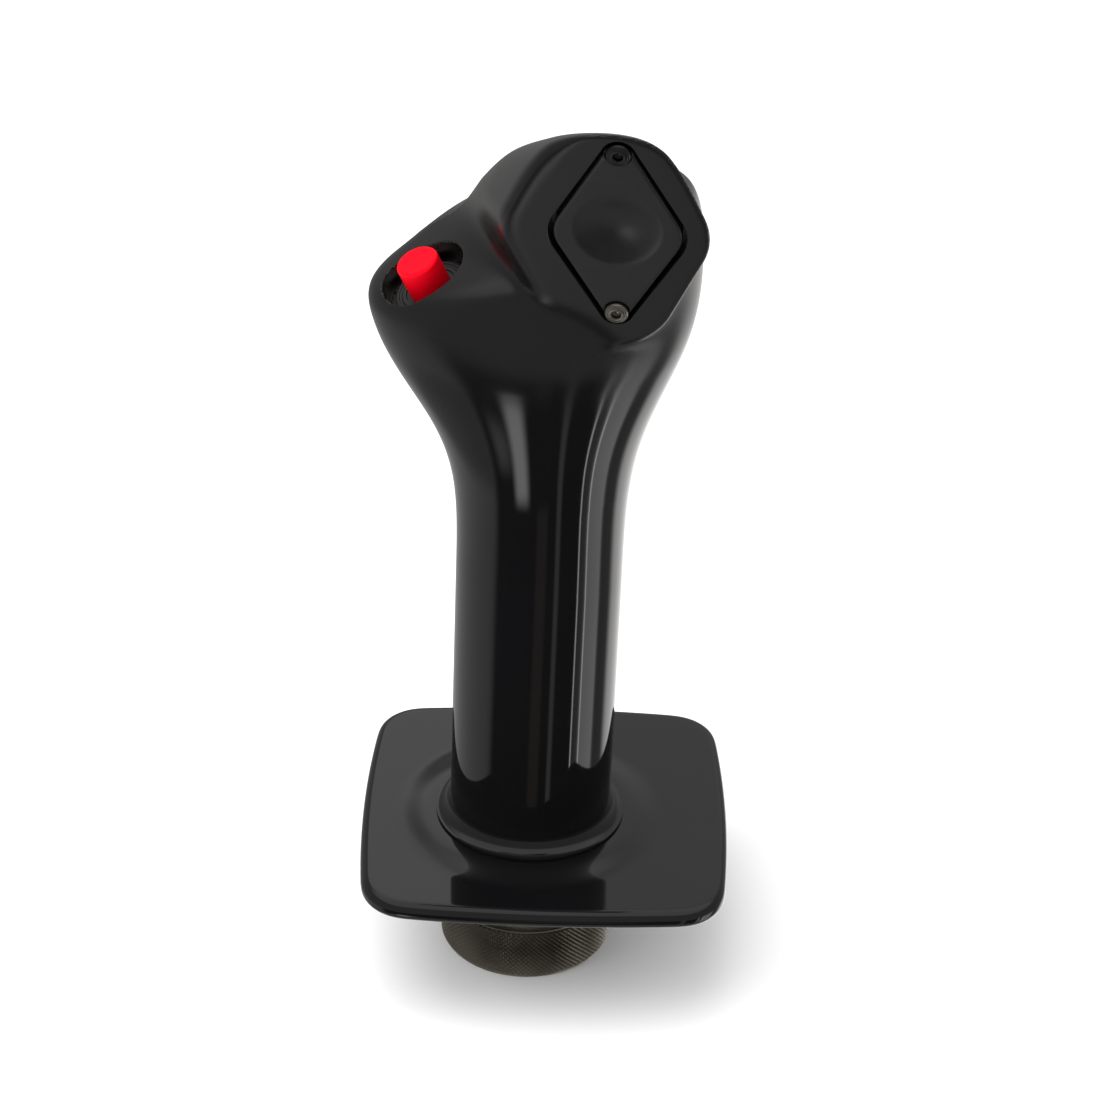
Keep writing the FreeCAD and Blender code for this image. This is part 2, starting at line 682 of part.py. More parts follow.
def make_trigger():
    top_v, low_v = screw_positions()
    SHAPES["trigger_plate"] = on_facet(make_trigger_plate())
    screws = [socket_screw(top_v, TOP_THREAD_END), socket_screw(low_v, LOW_THREAD_END)]
    SHAPES["trigger_screws"] = on_facet(Part.makeCompound(screws))
    insert = disc(INSERT_R, -LOW_THREAD_END, -POCKET_DEPTH, 0, low_v)
    insert = insert.cut(disc(SHANK_R, -20, 0, 0, low_v))
    SHAPES["screw_insert"] = on_facet(insert)
    back = -PLATE_RECESS - PLATE_T
    spring = coil(2.45, POCKET_DEPTH + back - 2 * SPRING_WIRE_R - 0.1, 2.5)
    spring.translate(Vec(0, low_v, -POCKET_DEPTH + SPRING_WIRE_R + 0.05))
    SHAPES["trigger_spring"] = on_facet(spring)
    pin = disc(ACTUATOR_R, -ACTUATOR_END, back, 0, PLATE_CENTRE_V)
    SHAPES["actuator_pin"] = on_facet(pin)
    front = -POCKET_DEPTH - 0.2
    switch = cradle_block(0, front - SWITCH_D, front)
    switch = switch.cut(disc(ACTUATOR_HOLE_R, -ACTUATOR_END - 1.2, 0, 0, PLATE_CENTRE_V))
    SHAPES["trigger_switch"] = on_facet(switch)
    cradle = cradle_block(CRADLE_T, front - SWITCH_D, front)
    SHAPES["switch_cradle"] = on_facet(cradle.cut(cradle_block(0, -30, 0)))
    legs = []
    for i in (-1, 0, 1):
        v = PLATE_CENTRE_V + i * 4.4
        legs.append(box(-0.3, 0.3, v - 0.7, v + 0.7, front - SWITCH_D - 3.4, front - SWITCH_D))
    SHAPES["switch_terminals"] = on_facet(Part.makeCompound(legs))


# ------------------------------------------------------------------ thumb button

def make_button():
    flange = disc(HOUSING_FLANGE_R, BUTTON_FLOOR, HOUSING_TOP - 0.5)
    collar = disc(HOUSING_R, HOUSING_TOP - 0.5, HOUSING_TOP)
    housing = fuse(flange, collar, disc(HOUSING_R, HOUSING_END, BUTTON_FLOOR))
    housing = housing.cut(disc(WELL_R, WELL_END, 0))
    housing = housing.cut(disc(CHAMBER_R, CHAMBER_END, 0))
    housing = housing.cut(disc(STEM_GUIDE_R, -40, 0))
    housing = housing.cut(disc(4.6, -40, STEM_GUIDE_END))
    SHAPES["button_housing"] = on_button(housing)
    SHAPES["button_bezel"] = on_button(ring(8.7, HOUSING_R, HOUSING_TOP - 0.5, HOUSING_TOP + 0.4))
    inner = BUTTON_FLOOR - BUTTON_WALL
    nut = hexagon(15.0, 2.6)
    nut.translate(Vec(0, 0, inner - 2.6))
    SHAPES["button_nut"] = on_button(nut.cut(disc(HOUSING_R, -40, 0)))
    cap = disc(CAP_R, CAP_BASE, CAP_TOP)
    rim = [e for e in cap.Edges if e.BoundBox.ZMin > CAP_TOP - 1e-3]
    SHAPES["button_cap"] = on_button(cap.makeFillet(CAP_EDGE_R, rim))
    SHAPES["button_stem"] = on_button(disc(BUTTON_STEM_R, BRIDGE_S, CAP_BASE))
    SHAPES["contact_bridge"] = on_button(disc(3.6, BRIDGE_S - 0.6, BRIDGE_S))
    spring_length = CAP_BASE - CHAMBER_END - 2 * SPRING_WIRE_R - 0.1
    spring = coil(2.7, spring_length, 5)
    spring.translate(Vec(0, 0, CHAMBER_END + SPRING_WIRE_R + 0.05))
    SHAPES["button_spring"] = on_button(spring)
    base = disc(HOUSING_R, HOUSING_END - 1.6, HOUSING_END)
    contacts = []
    for sx in (-1, 1):
        left, right = sorted((sx * 1.6, sx * 3.2))
        slot = box(left, right, -0.4, 0.4, HOUSING_END - 4.6, HOUSING_END + 0.2)
        base = base.cut(slot)
        contacts.append(slot)
    SHAPES["button_base"] = on_button(base)
    SHAPES["button_contacts"] = on_button(Part.makeCompound(contacts))


# ------------------------------------------------------------------ build

SHAPES["grip_shell"] = make_shell()
make_clamp_parts()
make_collar_parts()
make_plug()
make_board()
make_looms()
make_trigger()
make_button()

os.makedirs("parts", exist_ok=True)
for node, shape in SHAPES.items():
    shape.exportStep("parts/" + node + ".step")
    print(node, shape.isValid(), len(shape.Solids), round(shape.Volume, 1))
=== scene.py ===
import json
import math

import bpy
import numpy as np
from mathutils import Matrix, Vector


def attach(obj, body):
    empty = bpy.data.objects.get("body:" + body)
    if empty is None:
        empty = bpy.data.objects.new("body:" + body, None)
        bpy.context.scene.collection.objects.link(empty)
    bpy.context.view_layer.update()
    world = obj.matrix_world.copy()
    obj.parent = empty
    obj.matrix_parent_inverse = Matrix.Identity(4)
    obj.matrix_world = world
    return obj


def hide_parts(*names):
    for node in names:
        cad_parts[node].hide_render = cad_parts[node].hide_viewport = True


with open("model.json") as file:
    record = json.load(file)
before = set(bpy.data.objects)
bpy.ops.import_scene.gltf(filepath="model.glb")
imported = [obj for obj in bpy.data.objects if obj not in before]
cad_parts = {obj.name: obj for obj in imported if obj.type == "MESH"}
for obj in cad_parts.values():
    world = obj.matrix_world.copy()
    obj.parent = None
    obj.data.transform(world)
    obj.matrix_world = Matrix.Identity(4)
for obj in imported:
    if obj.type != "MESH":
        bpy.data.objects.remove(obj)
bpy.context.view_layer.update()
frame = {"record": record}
MM = 0.001

# ------------------------------------------------------------------ driving sizes, millimetres


def unit(direction):
    return np.asarray(direction, float) / np.linalg.norm(direction)


# facet frame: u to the right, v up the slope, w out of the facet
FACET_CENTRE = np.array([16.3, -32.4, 213.4])
FACET_TURN = math.radians(-5.5)
FACET_TILT = math.radians(-17.0)
FACET_N = np.array([
    math.sin(FACET_TURN) * math.cos(FACET_TILT),
    -math.cos(FACET_TURN) * math.cos(FACET_TILT),
    math.sin(FACET_TILT),
])
FACET_U = unit(np.cross([0, 0, 1], FACET_N))
FACET_V = np.cross(FACET_N, FACET_U)
FACET_EDGE = 1.8
# the facet's edge is softer on the thumb's side: extra blend, where it starts and over what width
SOFT_EDGE, SOFT_EDGE_U, SOFT_EDGE_W = 3.0, 7, 8

# head: a rounded diamond whose centre drifts and whose size grows behind the facet
HEAD_HALF_W, HEAD_HALF_H = 24.2, 58.0
HEAD_ROUNDING = 16.0
HEAD_SHIFT_U, HEAD_SHIFT_V = 2.5, 0.4
HEAD_DRIFT_U, HEAD_DRIFT_V = 0.31, 0.53
HEAD_GROWTH_W, HEAD_GROWTH_H = 0.05, 0.4
HEAD_GROWTH_END = 26
HEAD_BACK_Y, HEAD_BACK_BLEND = 14.0, 30.0
PALM_SLOPE = math.radians(27)
PALM_V, PALM_BLEND = 30.0, 17.5
# the blend between head and handle widens with the depth behind the facet
NECK_BLEND, NECK_BLEND_RISE, NECK_BLEND_MAX = 3, 0.73, 28.7
NECK_DEPTH = 52

# bowl under the head, cut by the sloping lobe that holds the thumb button
BOWL_CENTRE = np.array([-2.9, 1.0, 190.0])
BOWL_RADII = np.array([37.6, 21.3, 36.3])
BOWL_BLEND = 44.0
LOBE_POINT = np.array([-30, -5, 187.4])
LOBE_N = unit([-0.31, -0.12, 1.0])
LOBE_BLEND = 8.0

BUTTON_RIM = np.array([-27.5, -5.0, 190.8])
BUTTON_AXIS = unit([-0.37, -0.245, 0.894])
BUTTON_X = unit(np.cross([0, 1, 0], BUTTON_AXIS))
BUTTON_Y = np.cross(BUTTON_AXIS, BUTTON_X)
BUTTON_POCKET_R = 10.3
BUTTON_POCKET_BLEND = 0.8
BUTTON_FLOOR = -6.8
CAP_R = 5.05
CAP_BASE = -6.2
CAP_SHOULDER = 2.55
CAP_EDGE_R = 0.75
TRIM_TOP, TRIM_FOOT = -5.02, -5.9

# the handle leans in x per millimetre of height, from LEAN_FOOT_Z up to its top
LEAN = 0.011
LEAN_FOOT_Z = 40
HANDLE_R = 20.4
HANDLE_TOP_X = 1.5
HANDLE_TOP_Z = 170
# below this height the handle is a stack of even rings
JOIN_Z = 112.0
RING_TOP_Z = 108
FILLET_END_Z = 43.2
FOOT_X = 0.44
FOOT_R = 24.0
FOOT_FILLET_R = 3.6
FOOT_EDGE_H = 0.7

REST_CENTRE = np.array([4.4, 2.7])
REST_HALF = np.array([46.8, 46.4])
REST_Z = 32.5
REST_TOP = 37.5
REST_CORNER_R = 12.4
REST_BOW = 1.4
REST_EDGE_R = 2.2
BOSS_TOP_R = 24.6
BOSS_FOOT_R = 35.0
BOSS_H = 1.1
# rings hidden inside the foot
HUB_R = 16.0

# diamonds: half width, half height, radius at the sides, radius at the tips
POCKET_DIAMOND = (15.2, 25.9, 9.3, 3.7)
PLATE_DIAMOND = (14.1, 25.0, 8.4, 3.0)
# the pocket's floor slopes, shallow under the thin top of the head
POCKET_FLOOR = -3.4
POCKET_FLOOR_SLOPE = 0.05
PLATE_V = -0.35
PLATE_RECESS = 0.3
PLATE_T = 2.0
PLATE_EDGE_R = 0.45
PLATE_EAR_V = 15.55
DISH_V = 0.8
DISH_R = 9.9
DISH_DEPTH = 1.6
SCREW_V = 22.5
SCREW_SHANK_R = 1.5
SCREW_HEAD_R = 2.83
SCREW_HEAD_H = 1.6

NUT_R = 22.0
NUT_H = 15.0
NUT_LIP_R = 15.09
NUT_LIP_Z = 11.0
NUT_BORE_R = 18.2
THREAD_MINOR_R = 16.92
THREAD_DEPTH = 1.0
THREAD_PITCH = 2.0
THREAD_TOP_Z = 8.0
KNURL_TEETH = 104
KNURL_PITCH = 1.33
KNURL_DEPTH = 0.4

# ------------------------------------------------------------------ small mesh helpers


def smooth_step(x):
    """Rise from 0 to 1 with level ends."""
    x = np.clip(x, 0, 1)
    return x * x * (3 - 2 * x)


def new_piece(name, vertices, faces, body, material, smooth=True):
    """Mesh piece from millimetre vertices; rides on a body and takes one material."""
    mesh = bpy.data.meshes.new(name)
    mesh.from_pydata((np.asarray(vertices) * MM).tolist(), [], [list(f) for f in faces])
    mesh.validate()
    mesh.update()
    mesh.shade_smooth() if smooth else mesh.shade_flat()
    piece = bpy.data.objects.new(name, mesh)
    bpy.context.scene.collection.objects.link(piece)
    piece.data.materials.append(material)
    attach(piece, body)
    return piece


def ring_faces(rings, count, closed=False):
    """Quads between successive rings of equal count, outward when rings rise anticlockwise."""
    faces = []
    for j in range(rings - 1):
        a = j * count
        b = a + count
        for i in range(count):
            k = (i + 1) % count
            faces.append((a + i, a + k, b + k, b + i))
    if closed:
        faces.append(tuple(reversed(range(count))))
        faces.append(tuple((rings - 1) * count + i for i in range(count)))
    return faces


def loop_faces(rings, count):
    """Quads between rings whose last one joins the first."""
    total = rings * count
    return [tuple(v % total for v in face) for face in ring_faces(rings + 1, count)]


def unit_circle(count):
    """Angles and points round a circle of radius 1."""
    turn = np.linspace(0, 2 * math.pi, count, endpoint=False)
    return turn, np.stack([np.cos(turn), np.sin(turn)], 1)


def lathe_on_button(profile, closed, count=72):
    """Revolve (radius, height) points round the button's axis; the outside is on their right."""
    _, around = unit_circle(count)
    rings = []
    for radius, height in profile:
        x, y = (around * radius).T
        circle = np.outer(x, BUTTON_X) + np.outer(y, BUTTON_Y)
        rings.append(circle + BUTTON_RIM + BUTTON_AXIS * height)
    return np.concatenate(rings), ring_faces(len(profile), count, closed)


def rounded(points, radius, steps):
    """Round the inner corners of an open (radius, height) profile."""
    points = [np.array(p, float) for p in points]
    out = [points[0]]
    for before, corner, after in zip(points, points[1:], points[2:]):
        a = before - corner
        b = after - corner
        cut = min(radius, 0.45 * np.linalg.norm(a), 0.45 * np.linalg.norm(b))
        start = corner + a / np.linalg.norm(a) * cut
        end = corner + b / np.linalg.norm(b) * cut
        for i in range(steps + 1):
            t = i / steps
            out.append(start * (1 - t) ** 2 + corner * 2 * t * (1 - t) + end * t ** 2)
    out.append(points[-1])
    return [tuple(p) for p in out]


def sharpen(piece, degrees):
    piece.data.set_sharp_from_angle(angle=math.radians(degrees))


# ------------------------------------------------------------------ materials


def material(name, colour, roughness, metallic=0.0, noise=0.03, bump=0.02, scale=900.0,
             colour_noise=0.12, specular=0.5):
    """Procedural finish: fine colour variation, roughness breakup and a small bump."""
    mat = bpy.data.materials.new(name)
    mat.use_nodes = True
    nodes, links = mat.node_tree.nodes, mat.node_tree.links
    shader = nodes["Principled BSDF"]
    shader.inputs["Metallic"].default_value = metallic
    shader.inputs["Specular IOR Level"].default_value = specular
    place = nodes.new("ShaderNodeTexCoord")
    grain = nodes.new("ShaderNodeTexNoise")
    grain.inputs["Scale"].default_value = scale
    grain.inputs["Detail"].default_value = 4.0
    links.new(place.outputs["Object"], grain.inputs["Vector"])
    broad = nodes.new("ShaderNodeTexNoise")
    broad.inputs["Scale"].default_value = scale / 12
    broad.inputs["Detail"].default_value = 3.0
    links.new(place.outputs["Object"], broad.inputs["Vector"])
    ramp = nodes.new("ShaderNodeValToRGB")
    low = [c * (1 - colour_noise) for c in colour]
    high = [min(c * (1 + colour_noise), 1) for c in colour]
    ramp.color_ramp.elements[0].color = (*low, 1)
    ramp.color_ramp.elements[1].color = (*high, 1)
    ramp.color_ramp.elements[0].position = 0.3
    ramp.color_ramp.elements[1].position = 0.7
    links.new(broad.outputs["Fac"], ramp.inputs["Fac"])
    links.new(ramp.outputs["Color"], shader.inputs["Base Color"])
    rough = nodes.new("ShaderNodeMapRange")
    rough.inputs["To Min"].default_value = max(roughness - noise, 0.01)
    rough.inputs["To Max"].default_value = roughness + noise
    links.new(broad.outputs["Fac"], rough.inputs["Value"])
    links.new(rough.outputs["Result"], shader.inputs["Roughness"])
    relief = nodes.new("ShaderNodeBump")
    relief.inputs["Strength"].default_value = bump
    relief.inputs["Distance"].default_value = 0.0002
    links.new(grain.outputs["Fac"], relief.inputs["Height"])
    links.new(relief.outputs["Normal"], shader.inputs["Normal"])
    return mat


def satin_head(mat, low, high, extra):
    """Let a gloss finish turn satin between two heights."""
    nodes, links = mat.node_tree.nodes, mat.node_tree.links
    shader = nodes["Principled BSDF"]
    gloss = shader.inputs["Roughness"].links[0].from_socket
    place = nodes.new("ShaderNodeTexCoord")
    split = nodes.new("ShaderNodeSeparateXYZ")
    links.new(place.outputs["Object"], split.inputs[0])
    rise = nodes.new("ShaderNodeMapRange")
    rise.interpolation_type = "SMOOTHSTEP"
    rise.inputs["From Min"].default_value = low * MM
    rise.inputs["From Max"].default_value = high * MM
    rise.inputs["To Max"].default_value = extra
    links.new(split.outputs["Z"], rise.inputs["Value"])
    total = nodes.new("ShaderNodeMath")
    links.new(gloss, total.inputs[0])
    links.new(rise.outputs["Result"], total.inputs[1])
    links.new(total.outputs[0], shader.inputs["Roughness"])


def lacquer(name):
    return material(name, (0.0035, 0.0035, 0.004), 0.05, noise=0.012, bump=0.012, scale=260)


LACQUER = lacquer("gloss_lacquer")
BODY_LACQUER = lacquer("body_lacquer")
satin_head(BODY_LACQUER, low=158, high=184, extra=0.24)
# painted reflection: the thumb pocket's wall gets a light metallic grey that stands in for the
# bright surroundings mirrored by its lacquered wall
POCKET_WALL_PAINTED_REFLECTION = material("pocket_wall_painted_reflection", (0.36, 0.34, 0.31), 0.22, 1.0,
                       noise=0.06, bump=0.04, scale=1500)
SATIN = material("satin_black", (0.004, 0.004, 0.0045), 0.16, noise=0.03, bump=0.05, scale=2600)
PLATE_BLACK = material("plate_black", (0.006, 0.006, 0.0065), 0.3,
                       noise=0.03, bump=0.06, scale=3000)
RED = material("red_cap", (0.82, 0.0003, 0.011), 0.5, noise=0.05, bump=0.05, scale=2200,
               colour_noise=0.05, specular=0.08)
MOULDED = material("moulded_black", (0.012, 0.012, 0.013), 0.3, noise=0.05, bump=0.08, scale=2400)
GUNMETAL = material("gunmetal_knurl", (0.2, 0.18, 0.15), 0.34, 1.0,
                    noise=0.08, bump=0.06, scale=1800)
BLACK_STEEL = material("black_oxide", (0.05, 0.05, 0.052), 0.3, 1.0,
                       noise=0.06, bump=0.06, scale=2600)
STEEL = material("bright_steel", (0.56, 0.55, 0.53), 0.24, 1.0, noise=0.05, bump=0.04, scale=2200)
WORN_STEEL = material("worn_steel", (0.24, 0.225, 0.2), 0.28, 1.0,
                      noise=0.08, bump=0.05, scale=2600)
ALUMINIUM = material("machined_aluminium", (0.62, 0.62, 0.64), 0.28, 1.0,
                     noise=0.05, bump=0.05, scale=1500)
BRASS = material("brass", (0.72, 0.5, 0.2), 0.26, 1.0, noise=0.06, bump=0.04, scale=2000)
BOARD = material("solder_mask", (0.01, 0.12, 0.045), 0.3, noise=0.05, bump=0.05, scale=1500)
WHITE = material("moulded_white", (0.78, 0.78, 0.74), 0.4,
                 noise=0.05, bump=0.05, scale=1800, colour_noise=0.03)
CABLE = material("cable_black", (0.015, 0.015, 0.015), 0.45, noise=0.06, bump=0.1, scale=2400)
NICKEL = material("nickel", (0.66, 0.64, 0.6), 0.14, 1.0, noise=0.04, bump=0.02, scale=2200)
SLOT_MATERIAL = {
    "lacquer": LACQUER, "satin_black": SATIN, "red_cap": RED, "black_plastic": MOULDED,
    "gunmetal": GUNMETAL, "black_steel": BLACK_STEEL, "steel": STEEL, "aluminium": ALUMINIUM,
    "brass": BRASS, "pcb": BOARD, "white_plastic": WHITE, "cable_black": CABLE, "nickel": NICKEL,
}

# each CAD node takes the finish of its slot
for entry in frame["record"]["subparts"]:
    node = bpy.data.objects.get(entry["node"])
    if node is None:
        continue
    node.data.materials.clear()
    node.data.materials.append(SLOT_MATERIAL[entry["material_slot"]])

# ------------------------------------------------------------------ form of the grip


def smin(a, b, width):
    """Smaller of two distances, blended over a width."""
    h = np.maximum(width - np.abs(a - b), 0) / width
    return np.minimum(a, b) - h ** 3 * width / 6


def smax(a, b, width):
    """Larger of two distances, blended over a width."""
    return -smin(-a, -b, width)


def diamond_distance(u, v, half_w, half_h, rounding):
    """Distance to a diamond with rounded corners, in its own plane."""
    shrink = 1 - rounding * np.hypot(half_w, half_h) / (half_w * half_h)
    w = half_w * shrink
    h = half_h * shrink
    u = np.abs(u)
    v = np.abs(v)
    t = np.clip(((u - w) * -w + v * h) / (w * w + h * h), 0, 1)
    gap = np.hypot(u - w * (1 - t), v - h * t)
    return gap * np.where(u * h + v * w > w * h, 1.0, -1.0) - rounding


def ellipsoid_distance(offset, radii):
    """Distance to an ellipsoid, exact only near its surface."""
    near = np.sqrt(((offset / radii) ** 2).sum(1))
    steep = np.sqrt(((offset / radii ** 2) ** 2).sum(1)) + 1e-9
    return near * (near - 1) / steep


def from_button(p):
    """Distance from the button's axis, and height above its rim."""
    rim = p - BUTTON_RIM
    height = rim @ BUTTON_AXIS
    return np.linalg.norm(rim - height[:, None] * BUTTON_AXIS, axis=1), height


def form(p):
    """Distance from points to the grip's outer surface, with its facet and thumb pocket."""
    rel = p - FACET_CENTRE
    depth = -(rel @ FACET_N)
    across = rel @ FACET_U
    along = rel @ FACET_V
    grown = HEAD_GROWTH_END * np.tanh(depth / HEAD_GROWTH_END)
    head = diamond_distance(
        across + HEAD_SHIFT_U + HEAD_DRIFT_U * depth,
        along + HEAD_SHIFT_V + HEAD_DRIFT_V * depth,
        HEAD_HALF_W + HEAD_GROWTH_W * grown,
        HEAD_HALF_H + HEAD_GROWTH_H * grown,
        HEAD_ROUNDING,
    )
    crest = FACET_CENTRE + FACET_V * PALM_V
    palm = (p[:, 1] - crest[1]) * math.sin(PALM_SLOPE) + (p[:, 2] - crest[2]) * math.cos(PALM_SLOPE)
    head = smax(head, palm, PALM_BLEND)
    head = smax(head, p[:, 1] - HEAD_BACK_Y, HEAD_BACK_BLEND)
    edge = FACET_EDGE + SOFT_EDGE * smooth_step((-across - SOFT_EDGE_U) / SOFT_EDGE_W)
    head = smax(head, -depth, edge)
    axis_x = HANDLE_TOP_X - LEAN * np.maximum(HANDLE_TOP_X / LEAN - p[:, 2], 0)
    radial = np.hypot(p[:, 0] - axis_x, p[:, 1])
    handle = np.hypot(radial, np.maximum(p[:, 2] - HANDLE_TOP_Z, 0)) - HANDLE_R
    bowl = ellipsoid_distance(p - BOWL_CENTRE, BOWL_RADII)
    bowl = smax(bowl, (p - LOBE_POINT) @ LOBE_N, LOBE_BLEND)
    lower = smin(bowl, handle, BOWL_BLEND)
    width = NECK_BLEND + NECK_BLEND_RISE * np.clip(depth, 0, NECK_DEPTH)
    whole = smin(lower, head, np.minimum(width, NECK_BLEND_MAX))
    reach, height = from_button(p)
    pocket = np.maximum(reach - BUTTON_POCKET_R, BUTTON_FLOOR - height)
    return smax(whole, -pocket, BUTTON_POCKET_BLEND)


def slope_of(p, step=0.02):
    """Gradient of the form."""
    parts = []
    for axis in np.eye(3) * step:
        parts.append((form(p + axis) - form(p - axis)) / (2 * step))
    return np.stack(parts, 1)


def settle(p, rounds=3):
    """Move points onto the surface."""
    for _ in range(rounds):
        g = slope_of(p)
        p = p - g * (form(p) / np.maximum((g * g).sum(1), 1e-3))[:, None]
    return p


def spaced(low, high, step, fine_low, fine_high, fine):
    """Grid lines that close up between two values."""
    stretches = ((low, fine_low, step), (fine_low, fine_high, fine), (fine_high, high, step))
    counts = [max(round((end - start) / gap), 1) for start, end, gap in stretches]
    return np.concatenate([
        np.linspace(low, fine_low, counts[0], endpoint=False),
        np.linspace(fine_low, fine_high, counts[1], endpoint=False),
        np.linspace(fine_high, high, counts[2] + 1),
    ])


def surface_net(lines):
    """Quads of one vertex per crossed cell; the lowest layer stays open."""
    counts = [len(axis) for axis in lines]
    value = np.empty(counts)
    for k, z in enumerate(lines[2]):
        gx, gy = np.meshgrid(lines[0], lines[1], indexing="ij")
        layer = np.stack([gx.ravel(), gy.ravel(), np.full(gx.size, z)], 1)
        value[:, :, k] = form(layer).reshape(counts[0], counts[1])
    inside = value < 0
    cells = [n - 1 for n in counts]
    total = np.zeros(cells)
    place = np.zeros(cells + [3])
    for axis in range(3):
        lower = [slice(None)] * 3
        upper = [slice(None)] * 3
        lower[axis] = slice(0, -1)
        upper[axis] = slice(1, None)
        a, b = value[tuple(lower)], value[tuple(upper)]
        crossed = (a < 0) != (b < 0)
        share = np.where(crossed, a / np.where(crossed, a - b, 1), 0)
        position = np.stack(np.meshgrid(*[
            lines[i][:-1] if i == axis else lines[i] for i in range(3)
        ], indexing="ij"), -1)
        gaps = np.diff(lines[axis]).reshape([-1 if i == axis else 1 for i in range(3)])
        position[..., axis] += share * gaps
        others = [i for i in range(3) if i != axis]
        for du in (0, 1):
            for dv in (0, 1):
                pick = [slice(None)] * 3
                pick[others[0]] = slice(du, counts[others[0]] - 1 + du)
                pick[others[1]] = slice(dv, counts[others[1]] - 1 + dv)
                hit = crossed[tuple(pick)]
                total += hit
                place += position[tuple(pick)] * hit[..., None]
    active = total > 0
    index = -np.ones(cells, int)
    index[active] = np.arange(active.sum())
    vertices = place[active] / total[active][:, None]
    quads = []
    for axis in range(3):
        others = [(axis + 1) % 3, (axis + 2) % 3]
        lower = [slice(1, -1)] * 3
        upper = [slice(1, -1)] * 3
        lower[axis] = slice(0, -1)
        upper[axis] = slice(1, None)
        a, b = inside[tuple(lower)], inside[tuple(upper)]
        where = np.argwhere(a != b)
        outward = a[a != b]
        where[:, others[0]] += 1
        where[:, others[1]] += 1
        corner = []
        for du, dv in ((0, 0), (1, 0), (1, 1), (0, 1)):
            cell = where.copy()
            cell[:, others[0]] -= du
            cell[:, others[1]] -= dv
            corner.append(index[tuple(cell.T)])
        quad = np.stack(corner, 1)
        quad[~outward] = quad[~outward][:, ::-1]
        quads.append(quad)
    layer = np.nonzero(active)[2]
    return vertices, np.concatenate(quads), np.nonzero(layer == 0)[0]


def relaxed(vertices, quads, held, rounds=3):
    """Even out the vertex spacing while staying on the surface."""
    edges = np.concatenate([quads[:, [i, (i + 1) % 4]] for i in range(4)])
    for _ in range(rounds):
        total = np.zeros_like(vertices)
        count = np.zeros(len(vertices))
        for a, b in ((0, 1), (1, 0)):
            np.add.at(total, edges[:, a], vertices[edges[:, b]])
            np.add.at(count, edges[:, a], 1)
        moved = vertices + 0.5 * (total / np.maximum(count, 1)[:, None] - vertices)
        moved[held] = vertices[held]
        vertices = settle(moved, 1)
    return vertices


def foot_profile():
    """Handle rings from the top down: straight, concave fillet, small edge, underside."""
    base = REST_TOP + BOSS_H
    top = base + FOOT_EDGE_H + FOOT_FILLET_R
    rows = [(HANDLE_R, z) for z in np.linspace(RING_TOP_Z, top, 9)]
    for i in range(1, 13):
        turn = math.pi / 2 * i / 12
        rows.append((FOOT_R - FOOT_FILLET_R * math.cos(turn), top - FOOT_FILLET_R * math.sin(turn)))
    rows += [(FOOT_R, base + 0.3), (FOOT_R - 0.1, base + 0.1), (FOOT_R - 0.3, base), (HUB_R, base)]
    return rows


def zipped(loop, loop_turn, ring_turn, first):
    """Triangles between an irregular loop and an even ring below it, both sorted by angle."""
    faces = []
    i = j = 0
    n, count = len(loop), len(ring_turn)
    while i < n or j < count:
        next_loop = loop_turn[i + 1] if i + 1 < n else loop_turn[0] + 2 * math.pi
        next_ring = ring_turn[j + 1] if j + 1 < count else math.pi
        here, below = int(loop[i % n]), first + j % count
        if j >= count or (i < n and next_loop < next_ring):
            faces.append((here, below, int(loop[(i + 1) % n])))
            i += 1
        else:
            faces.append((here, below, first + (j + 1) % count))
            j += 1
    return faces


def shell_mesh():
    """The grip's skin: a net over the form above the join, even rings below it."""
    step = 0.6
    fine = 0.4
    # the grid covers the whole head, and is finer round the thumb pocket
    lines = [
        spaced(-43.0, 44.0, step, -38.5, -16.5, fine),
        spaced(-57.0, 36.0, step, -16.5, 6.5, fine),
        spaced(JOIN_Z, 241.0, step, 180.0, 200.0, fine),
    ]
    vertices, quads, border = surface_net(lines)
    vertices = settle(vertices)
    vertices = relaxed(vertices, quads, border)
    # the net's open border becomes an exact circle of the handle
    axis_x = LEAN * JOIN_Z
    turn = np.arctan2(vertices[border, 1], vertices[border, 0] - axis_x)
    vertices[border, 0] = axis_x + HANDLE_R * np.cos(turn)
    vertices[border, 1] = HANDLE_R * np.sin(turn)
    vertices[border, 2] = JOIN_Z
    used = np.unique(quads)
    border = border[np.isin(border, used)]
    turn = np.arctan2(vertices[border, 1], vertices[border, 0] - axis_x)
    order = np.argsort(turn)
    count = 180
    rows = foot_profile()
    ring_turn = np.linspace(-math.pi, math.pi, count, endpoint=False)
    rings = []
    for radius, z in rows:
        x = LEAN * max(z, LEAN_FOOT_Z)
        rings.append(np.stack([
            x + radius * np.cos(ring_turn), radius * np.sin(ring_turn), np.full(count, z),
        ], 1))
    first = len(vertices)
    vertices = np.concatenate([vertices] + rings)
    faces = [tuple(q) for q in quads.tolist()]
    faces += zipped(border[order], turn[order], ring_turn, first)
    for r in range(len(rows) - 1):
        a = first + r * count
        b = a + count
        for k in range(count):
            m = (k + 1) % count
            faces.append((a + k, b + k, b + m, a + m))
    last = first + (len(rows) - 1) * count
    faces.append(tuple(last + k for k in range(count))[::-1])
    return vertices, faces


